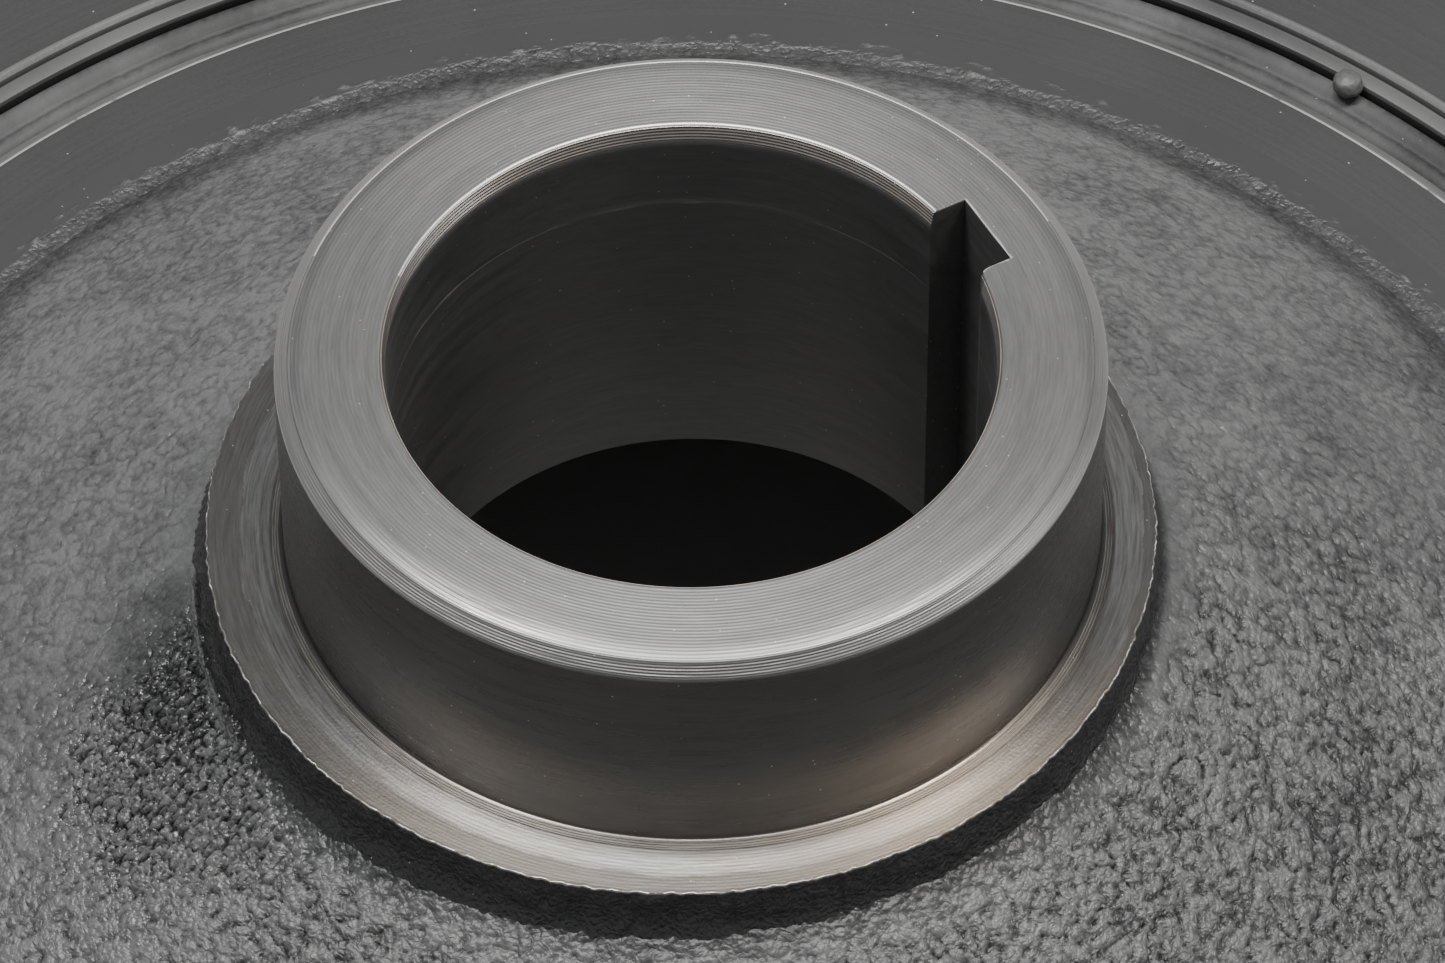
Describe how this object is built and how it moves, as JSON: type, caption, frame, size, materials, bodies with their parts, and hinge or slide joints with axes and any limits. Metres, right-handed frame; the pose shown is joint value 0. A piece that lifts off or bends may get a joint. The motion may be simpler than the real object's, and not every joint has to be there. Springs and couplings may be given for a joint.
{
  "type": "v belt pulley",
  "caption": "Crankshaft V-belt pulley: cast hub with a keyed bore and oil-seal surface, a bonded rubber damper and an outer ring with V grooves.",
  "frame": {"origin": "on the shaft axis, in the plane of the front rim face that the pulley stands on", "axes": "+Z along the shaft towards the engine; +Y through the middle of the keyway"},
  "size_m": [0.168, 0.168, 0.0675],
  "materials": {
    "hub_iron": "rough sand-cast web in dark grey paint, turned bare hub with fine tool marks",
    "inner_sleeve_steel": "cut end, painted over",
    "damper_rubber": "moulded, matt, dusty",
    "outer_sleeve_steel": "turned end with worn paint",
    "ring_iron": "turned and painted dark grey, satin, bare edges"
  },
  "bodies": {
    "hub": {"hub_casting": "hub_iron", "inner_sleeve": "inner_sleeve_steel", "damper_rubber": "damper_rubber"},
    "belt_ring": {"outer_sleeve": "outer_sleeve_steel", "pulley_ring": "ring_iron"}
  },
  "joints": [
    {"name": "ring_twist", "type": "hinge", "parent": "hub", "child": "belt_ring", "pos_m": [0, 0, 0.0175], "axis": [0, 0, 1], "range_deg": [-1, 1], "stiffness_Nm_per_rad": 200}
  ]
}
